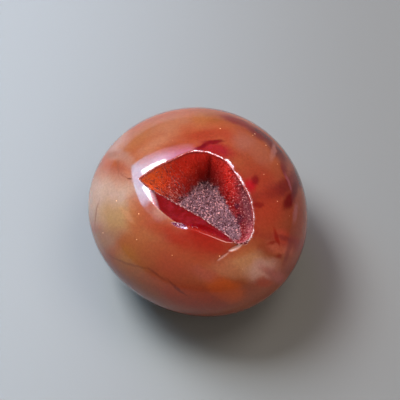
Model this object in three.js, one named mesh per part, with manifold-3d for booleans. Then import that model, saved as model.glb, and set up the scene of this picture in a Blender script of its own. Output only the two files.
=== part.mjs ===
// A polished carnelian pebble with one open pocket, and the quartz crystals that line the pocket.
// Millimetres, +Z up. The origin is the middle of the small flat spot that the stone rests on,
// -Y is the side where the pocket's long straight edge lies, and +X is the pocket's wide end.

import * as THREE from "three";
import { mergeVertices } from "three/addons/utils/BufferGeometryUtils.js";
import Module from "manifold-3d";

const wasm = await Module();
wasm.setup();

// Driving dimensions of the stone
const LONG_RADIUS = 30.9;
const SHORT_RADIUS = 29.1;
const HALF_HEIGHT = 20.5;
const LONG_AXIS_DEG = -57; // where the longest width points, from +X
const FLAT_CUT = 1.6; // how much lower a full ellipsoid would reach than the resting flat
const FLAT_BLEND = 0.5; // half the height over which the flat rounds into the flank
const SOFT_CORNERS = 3; // the outline is very slightly three-cornered
const SOFT_CORNER_SIZE = 0.01;
const SOFT_CORNER_DEG = 60;

// Driving dimensions of the pocket and its lining
const LINING = 0.7; // thickness of the crystal layer under the points
const LINING_GAP = 0.3; // clearance between the layer and the stone
const WALL_BELLY = 0.5; // how far the pocket's walls swell outwards half way down
const WALL_LEVELS = 5;
const WALL_REACH = 1.5; // the cutting form goes past the mouth, as a share of the wall
const COLUMN_WIDTH = 1.6; // about the width of one column of wall crystals at the mouth

// Driving dimensions of the crystals
const WALL_POINT = 0.55; // how far a wall crystal stands out
const WALL_POINT_SPREAD = 0.35; // by how much that differs from crystal to crystal, as a share
const WALL_POINT_SHIFT = 0.35; // how far its tip lies from its middle, as a share of its size
const FLOOR_SPACING = 2.1;
const FLOOR_SCATTER = 0.4; // how far a floor crystal stands from its place on the grid
const FLOOR_RADIUS = 1;
const FLOOR_POINT = 1.15; // height of a floor crystal above the layer
const FLOOR_SPREAD = 0.25; // by how much its size differs, as a share
const FLOOR_LEAN = 0.7; // in radians
const CRYSTAL_SIDES = 6;

const WELD = 1e-3;
const SEARCH_STEPS = 40; // halvings in the search for the surface's height
const STONE_FINENESS = 13; // subdivision of the icosahedron that becomes the pebble
const SCAR_FINENESS = 9; // the same for a scar
const CENTRE_HEIGHT = HALF_HEIGHT - FLAT_CUT;
const CENTRE = new THREE.Vector3(0, 0, CENTRE_HEIGHT);
const LONG_AXIS = THREE.MathUtils.degToRad(LONG_AXIS_DEG);

// The pocket's corners in order: where each meets the polished surface, seen from above,
// and where the wall that runs down from there meets the floor.
const POCKET = [
  { mouth: [-15.8, -0.4], floor: [-6.2, -4.6, 29.8] }, // the sharp left end
  { mouth: [-10.9, 2.6], floor: [-3.9, -2.6, 29.5] },
  { mouth: [-6.7, 4.8], floor: [-1.6, 0.3, 29.0] },
  { mouth: [-2.6, 6.7], floor: [0.3, 2.7, 28.4] },
  { mouth: [1.4, 6.5], floor: [1.8, 3.6, 28.1] }, // the deep crease at the back
  { mouth: [6.6, 4.1], floor: [4.6, 1.6, 28.4] },
  { mouth: [9.4, 0.5], floor: [6.4, -2.1, 28.8] },
  { mouth: [13.0, -5.6], floor: [8.7, -7.0, 29.6] },
  { mouth: [14.2, -11.6], floor: [10.6, -11.0, 30.4] },
  { mouth: [14.1, -14.9], floor: [11.2, -13.8, 30.9] },
  { mouth: [12.0, -18.0], floor: [10.2, -15.9, 31.2] }, // the wide end
  { mouth: [9.6, -18.7], floor: [8.6, -16.4, 31.2] },
  { mouth: [5.4, -15.9], floor: [5.0, -14.6, 30.9] },
  { mouth: [0.9, -13.2], floor: [0.8, -11.9, 30.3] }, // the long straight edge
  { mouth: [-8.0, -7.7], floor: [-4.4, -7.6, 29.9] },
  { mouth: [-12.8, -4.1], floor: [-5.6, -6.0, 29.8] },
];

// Two scars where the polishing met broken edges. Each is scooped out by an ellipsoid that dips
// below the polished surface by depth at a point of the plan. The radii are its half length,
// half width and half thickness, along is the direction of its length in degrees from +X, and
// lean tips it sideways by a share of its distance.
const SCARS = [
  // by the straight edge
  { at: [-2.4, -12.3], radii: [25.3, 8.2, 6.1], depth: 2.5, along: -27.6, lean: [0.36, 0.58] },
  // below the wide end
  { at: [7, -21], radii: [9.7, 0.65, 1.5], depth: 0.25, along: 37, lean: [0, 0] },
];

// A repeatable stand-in for chance, from 0 to 1.
const CHANCE_FACTOR = 16807;
const CHANCE_RANGE = 2147483647;
let seed = 7;
function chance() {
  seed = (seed * CHANCE_FACTOR) % CHANCE_RANGE;
  return seed / CHANCE_RANGE;
}

// A chance value on either side of zero, up to reach.
function sway(reach) {
  return (chance() * 2 - 1) * reach;
}

// A chance factor round one.
function spread(share) {
  return 1 + sway(share);
}

function lerp(a, b, share) {
  return a + (b - a) * share;
}

// Radius of the pebble from its centre in a direction, before the flat is made.
function pebbleRadius(direction) {
  const x = direction.x * Math.cos(LONG_AXIS) + direction.y * Math.sin(LONG_AXIS);
  const y = direction.y * Math.cos(LONG_AXIS) - direction.x * Math.sin(LONG_AXIS);
  const ellipsoid = 1 / Math.hypot(x / LONG_RADIUS, y / SHORT_RADIUS, direction.z / HALF_HEIGHT);
  const around = Math.atan2(direction.y, direction.x) - THREE.MathUtils.degToRad(SOFT_CORNER_DEG);
  const level = direction.x ** 2 + direction.y ** 2;
  return ellipsoid * (1 + SOFT_CORNER_SIZE * Math.cos(SOFT_CORNERS * around) * level);
}

// Height after the resting flat is ground at zero, with a soft edge.
function groundHeight(z) {
  if (z >= FLAT_BLEND) return z;
  if (z <= -FLAT_BLEND) return 0;
  return (z + FLAT_BLEND) ** 2 / (4 * FLAT_BLEND);
}

// Height of the polished surface above a point of the plan.
function surfaceHeight(x, y) {
  let low = CENTRE_HEIGHT;
  let high = CENTRE_HEIGHT + 2 * HALF_HEIGHT;
  for (let i = 0; i < SEARCH_STEPS; i += 1) {
    const middle = (low + high) / 2;
    const out = new THREE.Vector3(x, y, middle).sub(CENTRE);
    const reach = out.length();
    if (reach < pebbleRadius(out.divideScalar(reach))) low = middle;
    else high = middle;
  }
  return low;
}

// The point of the polished surface above a point of the plan.
function surfacePoint(x, y) {
  return new THREE.Vector3(x, y, surfaceHeight(x, y));
}

// The direction straight out of the polished surface above a point of the plan.
function surfaceNormal(x, y) {
  const step = 0.1;
  const across = surfacePoint(x + step, y).sub(surfacePoint(x - step, y));
  return across.cross(surfacePoint(x, y + step).sub(surfacePoint(x, y - step))).normalize();
}

// A three.js geometry as a solid that can be joined and cut.
function solidFrom(geometry, weld = 1e-4) {
  const bare = new THREE.BufferGeometry();
  const source = geometry.index ? geometry.toNonIndexed() : geometry;
  bare.setAttribute("position", source.getAttribute("position").clone());
  const merged = mergeVertices(bare, weld);
  return new wasm.Manifold(
    new wasm.Mesh({
      numProp: 3,
      vertProperties: new Float32Array(merged.attributes.position.array),
      triVerts: new Uint32Array(merged.index.array),
    }),
  );
}

function geometryFrom(solid) {
  const { vertProperties, triVerts } = solid.getMesh();
  const geometry = new THREE.BufferGeometry();
  geometry.setAttribute("position", new THREE.BufferAttribute(new Float32Array(vertProperties), 3));
  geometry.setIndex(new THREE.BufferAttribute(new Uint32Array(triVerts), 1));
  geometry.computeVertexNormals();
  return geometry;
}

function pebbleSolid() {
  const geometry = new THREE.IcosahedronGeometry(1, STONE_FINENESS);
  const places = geometry.getAttribute("position");
  const point = new THREE.Vector3();
  for (let i = 0; i < places.count; i += 1) {
    point.fromBufferAttribute(places, i).normalize();
    point.multiplyScalar(pebbleRadius(point)).add(CENTRE);
    places.setXYZ(i, point.x, point.y, groundHeight(point.z));
  }
  return solidFrom(geometry);
}

// One point of the pocket's wall. around counts corners, level is 0 at the floor and 1 at the
// mouth, and grow moves the wall outwards.
function wallPoint(around, level, grow) {
  const count = POCKET.length;
  const index = Math.floor(around) % count;
  const share = around - Math.floor(around);
  const [from, to] = [POCKET[index], POCKET[(index + 1) % count]];
  const floor = new THREE.Vector3(...from.floor).lerp(new THREE.Vector3(...to.floor), share);
  const x = lerp(from.mouth[0], to.mouth[0], share);
  const y = lerp(from.mouth[1], to.mouth[1], share);
  const side = sideways(around);
  const belly = level > 0 && level < 1 ? WALL_BELLY * Math.sin(Math.PI * level) : 0;
  const point = floor.lerp(surfacePoint(x, y), level).addScaledVector(side, grow + belly);
  point.z -= level < 1 ? grow * (1 - level) : 0;
  return point;
}

// How a corner of the outline moves when both its sides move out by one.
function cornerShift(index) {
  const count = POCKET.length;
  const [before, here, after] = [-1, 0, 1].map((step) => POCKET[(index + step + count) % count].mouth);
  const [first, second] = [
    [before, here],
    [here, after],
  ].map(([a, b]) => new THREE.Vector3(-(b[1] - a[1]), b[0] - a[0], 0).normalize());
  const sum = first.clone().add(second);
  return sum.divideScalar(1 + first.dot(second));
}

// How a place on the outline moves when its side moves out by one.
function sideways(around) {
  const index = Math.floor(around);
  return cornerShift(index).lerp(cornerShift((index + 1) % POCKET.length), around - index);
}

// The middle of the pocket's floor.
function floorMiddle() {
  const middle = new THREE.Vector3();
  POCKET.forEach(({ floor }) => middle.add(new THREE.Vector3(...floor)));
  return middle.divideScalar(POCKET.length);
}

// Places round the pocket's outline, counted in corners, about a column's width apart.
function outlineStations() {
  const stations = [];
  POCKET.forEach(({ mouth }, i) => {
    const next = POCKET[(i + 1) % POCKET.length].mouth;
    const width = Math.hypot(next[0] - mouth[0], next[1] - mouth[1]);
    const columns = Math.max(1, Math.round(width / COLUMN_WIDTH));
    for (let k = 0; k < columns; k += 1) stations.push(i + k / columns);
  });
  return stations;
}

// A cell of the wall: two triangles, or four that meet at a crystal's tip inside the pocket.
function wallCell(a, b, c, d, crystal) {
  if (!crystal) return [a, b, c, a, c, d];
  const inwards = c.clone().sub(a).cross(d.clone().sub(b)).normalize();
  const tip = a.clone().add(b).add(c).add(d).divideScalar(4);
  tip.addScaledVector(inwards, WALL_POINT * spread(WALL_POINT_SPREAD));
  tip.addScaledVector(c.clone().sub(a), sway(WALL_POINT_SHIFT / 2));
  tip.addScaledVector(d.clone().sub(b), sway(WALL_POINT_SHIFT / 2));
  return [a, b, tip, b, c, tip, c, d, tip, d, a, tip];
}

// The pocket as a closed form that reaches out past the polished surface. With crystals, its
// walls are dented by one crystal in each cell.
function pocketSolid(grow, crystals = false) {
  const stations = outlineStations();
  const levels = Array.from({ length: WALL_LEVELS + 1 }, (_, i) => i / WALL_LEVELS);
  levels.push(WALL_REACH);
  const rings = levels.map((level) => stations.map((around) => wallPoint(around, level, grow)));
  const bottom = floorMiddle();
  bottom.z -= grow;
  const lid = new THREE.Vector3();
  rings.at(-1).forEach((point) => lid.add(point));
  lid.divideScalar(stations.length);
  const corners = [];
  stations.forEach((_, i) => {
    const next = (i + 1) % stations.length;
    corners.push(rings[0][i], rings[0][next], bottom);
    corners.push(rings.at(-1)[next], rings.at(-1)[i], lid);
    for (let k = 1; k < rings.length; k += 1) {
      const cell = [rings[k - 1][next], rings[k - 1][i], rings[k][i], rings[k][next]];
      corners.push(...wallCell(...cell, crystals && k < WALL_LEVELS));
    }
  });
  return solidFrom(new THREE.BufferGeometry().setFromPoints(corners));
}

function scarSolid({ at, radii, depth, along, lean }) {
  const up = surfaceNormal(...at).add(new THREE.Vector3(...lean, 0)).normalize();
  const angle = THREE.MathUtils.degToRad(along);
  const side = up.clone().cross(new THREE.Vector3(Math.cos(angle), Math.sin(angle), 0)).normalize();
  const centre = surfacePoint(...at).addScaledVector(up, radii[2] - depth);
  const place = new THREE.Matrix4().makeBasis(side.clone().cross(up), side, up).setPosition(centre);
  const geometry = new THREE.IcosahedronGeometry(1, SCAR_FINENESS);
  geometry.scale(...radii);
  geometry.applyMatrix4(place);
  return solidFrom(geometry);
}

function withoutScars(solid) {
  return SCARS.reduce((left, scar) => left.subtract(scarSolid(scar)), solid);
}

// The body with the most volume, with near points welded: what the cuts leave loose, and voids
// between crystals, are left out.
function largestBody(solid) {
  const bodies = solidFrom(geometryFrom(solid), WELD).decompose();
  return bodies.reduce((best, body) => (body.volume() > best.volume() ? body : best));
}

// A six-sided quartz point, pointed at its root too, that stands on the floor and leans by chance.
function crystalSolid(place, radius) {
  const height = FLOOR_POINT * spread(FLOOR_SPREAD);
  const profile = [new THREE.Vector2(0, -height), new THREE.Vector2(radius, 0), new THREE.Vector2(0, height)];
  const geometry = new THREE.LatheGeometry(profile, CRYSTAL_SIDES);
  geometry.rotateY(chance() * Math.PI);
  geometry.rotateX(Math.PI / 2 + sway(FLOOR_LEAN));
  geometry.rotateY(sway(FLOOR_LEAN));
  geometry.translate(place.x, place.y, place.z);
  return solidFrom(geometry);
}

// Crystals over the floor, on a staggered grid that chance disturbs.
function floorCrystals() {
  const made = [];
  const middle = floorMiddle();
  const ring = POCKET.map(({ floor }) => new THREE.Vector3(...floor));
  const outline = ring.map(({ x, y }) => new THREE.Vector2(x, y));
  const { min, max } = new THREE.Box2().setFromPoints(outline);
  const rowHeight = FLOOR_SPACING * Math.sin(Math.PI / 3);
  for (let y = min.y, row = 0; y < max.y; y += rowHeight, row += 1) {
    for (let x = min.x + (row % 2) * (FLOOR_SPACING / 2); x < max.x; x += FLOOR_SPACING) {
      const place = new THREE.Vector3(x + sway(FLOOR_SCATTER), y + sway(FLOOR_SCATTER), 0);
      if (!isInside(place, outline)) continue;
      place.z = floorHeight(place, ring, middle);
      made.push(crystalSolid(place, FLOOR_RADIUS * spread(FLOOR_SPREAD)));
    }
  }
  return made;
}

function isInside(place, outline) {
  let inside = false;
  outline.forEach((a, i) => {
    const b = outline[(i + 1) % outline.length];
    const crosses = a.y > place.y !== b.y > place.y;
    if (crosses && place.x < lerp(a.x, b.x, (place.y - a.y) / (b.y - a.y))) inside = !inside;
  });
  return inside;
}

// Height of the floor, a fan of triangles round its middle, at a place of the plan.
function floorHeight(place, ring, middle) {
  let height = middle.z;
  const flat = new THREE.Triangle();
  const found = new THREE.Vector3();
  ring.forEach((a, i) => {
    const b = ring[(i + 1) % ring.length];
    flat.set(
      new THREE.Vector3(a.x, a.y, 0),
      new THREE.Vector3(b.x, b.y, 0),
      new THREE.Vector3(middle.x, middle.y, 0),
    );
    if (!flat.containsPoint(place)) return;
    flat.getBarycoord(place, found);
    height = found.x * a.z + found.y * b.z + found.z * middle.z;
  });
  return height;
}

function polishedStone() {
  const solid = withoutScars(pebbleSolid().subtract(pocketSolid(LINING + LINING_GAP)));
  const material = new THREE.MeshStandardMaterial({ color: 0xb4552a, roughness: 0.12, metalness: 0 });
  const mesh = new THREE.Mesh(geometryFrom(largestBody(solid)), material);
  mesh.name = "polished_stone";
  return mesh;
}

// The layer of quartz that covers the pocket's walls and floor, with its points fused on.
function crystalLining() {
  const outside = pocketSolid(LINING);
  const layer = outside.subtract(pocketSolid(0, true));
  const crusted = wasm.Manifold.union([layer, ...floorCrystals()]);
  const solid = withoutScars(crusted.intersect(outside).intersect(pebbleSolid()));
  const material = new THREE.MeshStandardMaterial({ color: 0x94636a, roughness: 0.35, metalness: 0 });
  const mesh = new THREE.Mesh(geometryFrom(largestBody(solid)), material);
  mesh.name = "crystal_lining";
  return mesh;
}

const carnelian = new THREE.Group();
carnelian.name = "carnelian";
carnelian.add(polishedStone(), crystalLining());

export default carnelian;
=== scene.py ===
"""Looks for the polished carnelian: its fine surface, its crystal pocket, materials, camera and light.

Lengths are millimetres in the shape functions and metres in the finished meshes.
"""

import math

import bpy
import numpy as np
from mathutils import Matrix, Vector


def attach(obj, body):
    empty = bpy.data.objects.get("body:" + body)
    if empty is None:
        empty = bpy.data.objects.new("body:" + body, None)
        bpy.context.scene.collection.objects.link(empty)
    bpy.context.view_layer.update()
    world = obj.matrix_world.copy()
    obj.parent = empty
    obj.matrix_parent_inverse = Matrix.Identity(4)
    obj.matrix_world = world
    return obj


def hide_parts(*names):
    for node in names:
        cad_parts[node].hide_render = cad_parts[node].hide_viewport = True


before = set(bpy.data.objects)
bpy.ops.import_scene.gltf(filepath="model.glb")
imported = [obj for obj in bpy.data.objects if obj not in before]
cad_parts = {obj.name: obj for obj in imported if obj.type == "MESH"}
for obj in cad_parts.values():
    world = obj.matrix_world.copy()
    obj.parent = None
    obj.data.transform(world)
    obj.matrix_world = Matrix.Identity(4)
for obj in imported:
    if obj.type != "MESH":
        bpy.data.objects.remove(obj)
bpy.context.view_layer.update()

MM = 0.001

# The photo's view, in metres: the camera's distance, the width that it sees at the stone's middle,
# and how far the frame's middle lies to the right of the stone's middle and above it
CAMERA_HEIGHT_DEG = 60
CAMERA_DISTANCE = 0.5
FRAME_WIDTH = 0.108
FRAME_RIGHT = 0.00032
FRAME_UP = 0.00277
FRAME_PIXELS = 400
SENSOR = 36.0

# The pebble, as in the solids
LONG_RADIUS = 30.9
SHORT_RADIUS = 29.1
HALF_HEIGHT = 20.5
LONG_AXIS_DEG = -57
FLAT_CUT = 1.6
FLAT_BLEND = 0.5
SOFT_CORNERS = 3
SOFT_CORNER_SIZE = 0.01
SOFT_CORNER_DEG = 60
CENTRE = np.array([0.0, 0.0, HALF_HEIGHT - FLAT_CUT])

# The view's own directions, and the frame's middle in mm
FRAME_TILT = math.radians(CAMERA_HEIGHT_DEG)
RIGHT = np.array([1.0, 0.0, 0.0])
UP = np.array([0.0, math.sin(FRAME_TILT), math.cos(FRAME_TILT)])
BACK = np.array([0.0, -math.cos(FRAME_TILT), math.sin(FRAME_TILT)])
FRAME_MIDDLE = CENTRE + (RIGHT * FRAME_RIGHT + UP * FRAME_UP) / MM

# The pocket: where its edge meets the polished surface (x, y), where the wall below that meets the
# floor (x, y, z), and how wide the crystal layer shows in the polished surface there.
POCKET = [
    ((-15.8, -0.4), (-6.1, -4.5, 29.8), 0.06),  # the sharp left end
    ((-11.0, 2.4), (-3.9, -2.6, 29.5), 0.06),
    ((-6.9, 4.0), (-1.6, 0.3, 29.0), 0.08),
    ((-3.3, 5.95), (0.1, 2.5, 28.4), 0.15),
    ((-1.2, 6.45), (0.7, 3.2, 28.2), 0.25),
    ((2.0, 6.2), (2.0, 3.6, 28.1), 0.3),  # above the deep crease
    ((4.4, 5.2), (3.4, 2.9, 28.2), 0.4),
    ((7.0, 3.9), (4.8, 1.3, 28.4), 0.6),
    ((9.2, 0.7), (6.3, -1.9, 28.8), 0.7),  # the widest part of the layer
    ((10.5, -1.5), (7.2, -3.7, 29.0), 0.5),
    ((12.2, -4.1), (8.1, -5.6, 29.3), 0.3),
    ((13.2, -6.2), (8.8, -7.2, 29.6), 0.22),
    ((14.0, -9.5), (9.8, -9.4, 30.0), 0.25),
    ((14.2, -12.4), (10.8, -11.6, 30.5), 0.3),
    ((14.1, -14.6), (11.2, -13.5, 30.8), 0.22),
    ((13.3, -16.6), (11.2, -15.0, 31.0), 0.3),
    ((12.0, -18.1), (10.4, -15.9, 31.2), 0.4),  # the wide end
    ((10.0, -18.8), (9.0, -16.3, 31.2), 0.3),
    ((7.8, -17.2), (7.0, -15.8, 31.1), 0.2),
    ((5.4, -15.9), (5.0, -14.6, 30.9), 0.16),
    ((2.4, -14.1), (2.2, -12.9, 30.5), 0.16),
    ((0.9, -13.2), (0.8, -11.9, 30.3), 0.13),  # the long straight edge
    ((-3.9, -10.4), (-1.6, -9.8, 30.0), 0.15),
    ((-8.0, -7.7), (-4.4, -7.6, 29.9), 0.18),
    ((-10.6, -5.7), (-5.0, -6.8, 29.8), 0.16),
    ((-12.8, -4.1), (-5.6, -6.0, 29.8), 0.12),
    ((-14.8, -1.7), (-6.1, -4.9, 29.8), 0.06),
]
COLUMNS = 384  # points round the pocket's edge
EDGE_SMOOTHING = 0.35
WALL_BELLY = 0.5
LAYER_SEED = 5
LAYER_RAGGED = 0.7
RAGGED_FINE = 0.3  # shares of fine and broad raggedness, and over how many columns the broad one goes
RAGGED_BROAD = 1.5
RAGGED_REACH = 2
CREASE_AT = 5.2  # between which corners of the pocket, counted from 0
CREASE_WIDTH = 0.35
CREASE_DEPTH = 0.9
CREASE_ROUND = 0.6  # below 1 the crease keeps its depth longer towards rim and floor

# Scars: point of the plan, half length, width and thickness, depth, direction of the length, lean
SMOOTH_SCAR = {
    "at": (-2.4, -12.3),
    "radii": (25.3, 8.2, 6.1),
    "depth": 2.5,
    "along": -27.6,
    "lean": (0.36, 0.58, 0),
}
# The narrow scar is curved here: a wide part and a thinner tail
NARROW_SCAR = {
    "at": (9.4, -19.6),
    "radii": (5.2, 0.95, 1.5),
    "depth": 0.25,
    "along": 27.5,
    "lean": (0, 0, 0),
}
NARROW_TAIL = {
    "at": (6.3, -21.7),
    "radii": (5.0, 0.55, 1.2),
    "depth": 0.2,
    "along": 42,
    "lean": (0, 0, 0),
}
# A small rough bite in the border of the smooth scar
CHIP = {
    "at": (-5.0, -14.5),
    "radii": (4.0, 0.85, 1.2),
    "depth": 0.3,
    "along": -23,
    "lean": (0, 0, 0),
}
# The smooth scar's worn border in the plan, from the pocket's left end to its wide end
SMOOTH_BORDER = np.array([
    (-12.3, -2.5),
    (-12.6, -4.9),
    (-12.1, -6.6),
    (-11.4, -8.6),
    (-10.5, -10.5),
    (-9.3, -12.1),
    (-8.0, -13.3),
    (-6.6, -14.2),
    (-4.9, -14.8),
    (-2.4, -15.2),
    (-0.2, -15.7),
    (1.6, -16.3),
    (4.2, -17.2),
    (7.0, -18.3),
    (9.1, -18.9),
    (12.0, -19.9),
])
BORDER_JAGS = ((7.0, 3.0, 0.1), (13.0, -5.0, 0.06))  # waves in x and y per mm, and how far
BORDER_START = -0.1  # how far past its border the smooth scar begins, and where it has its whole depth
BORDER_END = 0.35
BORDER_EARLIER = 0.5  # how much earlier and later that is on the right, where the border is worn away
BORDER_SOFTER = 0.7
BORDER_WORN = (-5.0, 1.0)  # from which x to which x it wears away
HALO_REACH = 2.2  # how far the red colour spreads out from there
HALO_RIGHT = (7.0, 10.0)  # and between which x it ends
HALO_FULL = 0.2  # how far within the border it is strongest
COLOR_EARLIER = 0.4  # how much earlier the scar's own colour begins on the right
RIDGE_WIDTH = 0.25
SCAR_SHOWS = (-0.1, 0.15)  # the depth of cut over which each scar's colour comes in
NARROW_SHOWS = (0.02, 0.16)
CHIP_SHOWS = (0.0, 0.12)
SCAR_BLEND = 0.12
SLOPE_STEP = 0.01  # the step over which slopes are measured
HALVINGS = 40  # steps that find the height of a surface point

RIM_ROUND = 0.2
RIM_STEP = 0.16
RIM_STEPS = 45
STEP_GROWTH = 1.06
LARGEST_STEP = 1.4
FIRST_STEPS = (0.03, 0.04, 0.05, 0.06, 0.08, 0.1, 0.13)
OUTER_LENGTH = 75.0  # about how far it is from the rim round to the middle of the underside
POCKET_POLE = (1.0, -6.0)  # the point of the plan that the rings go round
SKIN_GAP = 0.02
EVEN_COLUMNS = 5  # how far the columns even out sideways
EVEN_REACH = 1.5  # and over what distance from the layer


def unit(vectors):
    """Vectors brought to length 1."""
    return vectors / np.linalg.norm(vectors, axis=-1, keepdims=True)


def smoothstep(low, high, value):
    """0 below the lower limit and 1 above the higher one, smooth between."""
    share = np.clip((value - low) / (high - low), 0, 1)
    return share * share * (3 - 2 * share)


def pebble_radius(direction):
    """Distance from the pebble's centre to its surface, before the flat and the scars."""
    turn = math.radians(LONG_AXIS_DEG)
    x = direction[..., 0] * math.cos(turn) + direction[..., 1] * math.sin(turn)
    y = direction[..., 1] * math.cos(turn) - direction[..., 0] * math.sin(turn)
    parts = (x / LONG_RADIUS) ** 2 + (y / SHORT_RADIUS) ** 2 + (direction[..., 2] / HALF_HEIGHT) ** 2
    around = np.arctan2(direction[..., 1], direction[..., 0]) - math.radians(SOFT_CORNER_DEG)
    level = direction[..., 0] ** 2 + direction[..., 1] ** 2
    return (1 + SOFT_CORNER_SIZE * np.cos(SOFT_CORNERS * around) * level) / np.sqrt(parts)


def ground_height(z):
    """Heights with all below the table brought up to it, in a soft bend."""
    blended = (z + FLAT_BLEND) ** 2 / (4 * FLAT_BLEND)
    return np.where(z >= FLAT_BLEND, z, np.where(z <= -FLAT_BLEND, 0, blended))


def surface_point(x, y):
    """Points of the polished surface above points of the plan."""
    low = np.full(np.shape(x), CENTRE[2])
    high = low + 2 * HALF_HEIGHT
    for _ in range(HALVINGS):
        middle = (low + high) / 2
        out = np.stack([x, y, middle - CENTRE[2]], -1)
        inside = np.linalg.norm(out, axis=-1) < pebble_radius(unit(out))
        low = np.where(inside, middle, low)
        high = np.where(inside, high, middle)
    return np.stack([x, y, low], -1)


def surface_normal(point):
    """Direction straight out of the pebble at a point of it."""
    out = point - CENTRE
    slopes = []
    for axis in np.eye(3):
        step = axis * SLOPE_STEP
        ahead, behind = out + step, out - step
        slopes.append(
            np.linalg.norm(ahead) / pebble_radius(unit(ahead))
            - np.linalg.norm(behind) / pebble_radius(unit(behind))
        )
    return unit(np.array(slopes))


def scar_reach(scar, direction):
    """How far a ray from the pebble's centre goes before it enters a scar's ellipsoid."""
    foot = surface_point(np.array(scar["at"][0]), np.array(scar["at"][1]))
    normal = unit(surface_normal(foot) + scar["lean"])
    angle = math.radians(scar["along"])
    side = unit(np.cross(normal, [math.cos(angle), math.sin(angle), 0]))
    axes = np.array([np.cross(side, normal), side, normal])
    radii = np.array(scar["radii"])
    middle = foot + normal * (radii[2] - scar["depth"])
    start = axes @ (CENTRE - middle) / radii
    way = direction @ axes.T / radii
    a = (way**2).sum(-1)
    b = 2 * way @ start
    c = start @ start - 1
    root = b**2 - 4 * a * c
    reach = (-b - np.sqrt(np.maximum(root, 0))) / (2 * a)
    return np.where((root > 0) & (reach > 0), reach, np.inf)


def smooth_least(a, b, blend):
    """The smaller of two values, rounded off where they are nearly the same."""
    near = np.maximum(blend - np.abs(a - b), 0) / blend
    return np.minimum(a, b) - near**2 * blend / 4


def smooth_scar_share(direction):
    """0 outside the smooth scar's border and 1 inside it, with a sharp edge on the left only."""
    inside, across = past_border(direction)
    worn = smoothstep(*BORDER_WORN, across)
    start = BORDER_START - BORDER_EARLIER * worn
    return smoothstep(start, BORDER_END + BORDER_SOFTER * worn, inside)


def past_border(direction):
    """How far a point of the pebble lies within the smooth scar's border, in mm of the plan, and its x."""
    spot = (CENTRE + direction * pebble_radius(direction)[..., None])[..., :2]
    nearest = np.full(spot.shape[:-1], np.inf)
    inside = np.zeros(spot.shape[:-1])
    for start, end in zip(SMOOTH_BORDER[:-1], SMOOTH_BORDER[1:]):
        run = end - start
        out = spot - start
        share = np.clip(out @ run / (run @ run), 0, 1)
        gap = np.linalg.norm(out - share[..., None] * run, axis=-1)
        side = np.sign(run[0] * out[..., 1] - run[1] * out[..., 0])
        inside = np.where(gap < nearest, gap * side, inside)
        nearest = np.minimum(gap, nearest)
    sharp = 1 - smoothstep(*BORDER_WORN, spot[..., 0])
    for by_x, by_y, reach in BORDER_JAGS:
        inside = inside + sharp * reach * np.sin(by_x * spot[..., 0] + by_y * spot[..., 1])
    return inside, spot[..., 0]


def worn_radius(direction):
    """Distance from the centre to the surface with its scars."""
    whole = pebble_radius(direction)
    scooped = smooth_least(whole, scar_reach(SMOOTH_SCAR, direction), SCAR_BLEND)
    radius = whole + (scooped - whole) * smooth_scar_share(direction)
    for scar in (NARROW_SCAR, NARROW_TAIL, CHIP):
        radius = smooth_least(radius, scar_reach(scar, direction), SCAR_BLEND)
    return radius


def onto_surface(points, below=0.0):
    """Points moved along the ray from the centre to the worn surface, or a little below it."""
    direction = unit(points - CENTRE)
    return CENTRE + direction * (worn_radius(direction) - below)[..., None]


def loop_smooth(values, reach):
    """A closed row of values, each averaged with its neighbours up to a few reaches away."""
    steps = np.arange(-4 * reach, 4 * reach + 1)
    weights = np.exp(-0.5 * (steps / reach) ** 2)
    weights /= weights.sum()
    return sum(w * np.roll(values, int(s), axis=0) for w, s in zip(weights, steps))


def pocket_outline():
    """The pocket's edge, floor line, layer width and outward direction at COLUMNS places."""
    mouth, floor, width = (np.array(part, dtype=float) for part in zip(*POCKET))
    length = np.linalg.norm(np.roll(mouth, -1, axis=0) - mouth, axis=1)
    place = np.concatenate([[0], np.cumsum(length)])
    at = np.linspace(0, place[-1], COLUMNS, endpoint=False)

    def along(values):
        closed = np.concatenate([values, values[:1]])
        closed = closed.reshape(len(place), -1)
        return np.stack([np.interp(at, place, closed[:, i]) for i in range(closed.shape[1])], -1)

    reach = max(1, round(EDGE_SMOOTHING / (place[-1] / COLUMNS)))
    mouth, floor, width = (loop_smooth(along(values), reach) for values in (mouth, floor, width))
    step = np.roll(mouth, -1, axis=0) - np.roll(mouth, 1, axis=0)
    side = unit(np.stack([-step[:, 1], step[:, 0]], -1))
    corner = np.interp(at, place, np.arange(len(place)))
    crease = np.exp(-(((corner - CREASE_AT) / CREASE_WIDTH) ** 2))
    chance = np.random.default_rng(LAYER_SEED).uniform(-1, 1, COLUMNS)
    broad = loop_smooth(chance, RAGGED_REACH)
    ragged = 1 + LAYER_RAGGED * (RAGGED_FINE * chance + RAGGED_BROAD * broad)
    return mouth, floor, width[:, 0] * ragged, side, crease


MOUTH, FLOOR, LAYER, SIDE, CREASE = pocket_outline()
SIDE3 = np.concatenate([SIDE, np.zeros((COLUMNS, 1))], axis=1)
RIM = onto_surface(surface_point(MOUTH[:, 0], MOUTH[:, 1]))
FLOOR_MIDDLE = FLOOR.mean(axis=0)


def layer_edge(share, below=0.0):
    """Points of the polished surface across the crystal layer: 0 is its inner edge, 1 its outer."""
    plan = MOUTH + SIDE * (LAYER * share)[:, None]
    return onto_surface(surface_point(plan[:, 0], plan[:, 1]), below)


def wall(level, out=0.0):
    """One ring of the pocket's wall: level 1 is the rim and 0 the floor, out moves it outwards."""
    bulge = math.sin(math.pi * level)
    belly = WALL_BELLY * bulge + CREASE_DEPTH * CREASE * bulge**CREASE_ROUND
    ring = FLOOR + (RIM - FLOOR) * level + SIDE3 * (out + belly)[:, None]
    ring[:, 2] -= (out + np.zeros(COLUMNS)) * (1 - level)
    return ring


def floor_ring(share, below=0.0):
    """One ring of the floor: share 0 is its edge and 1 its middle."""
    ring = FLOOR + (FLOOR_MIDDLE - FLOOR) * share
    ring[:, 2] -= below
    return ring


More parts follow.
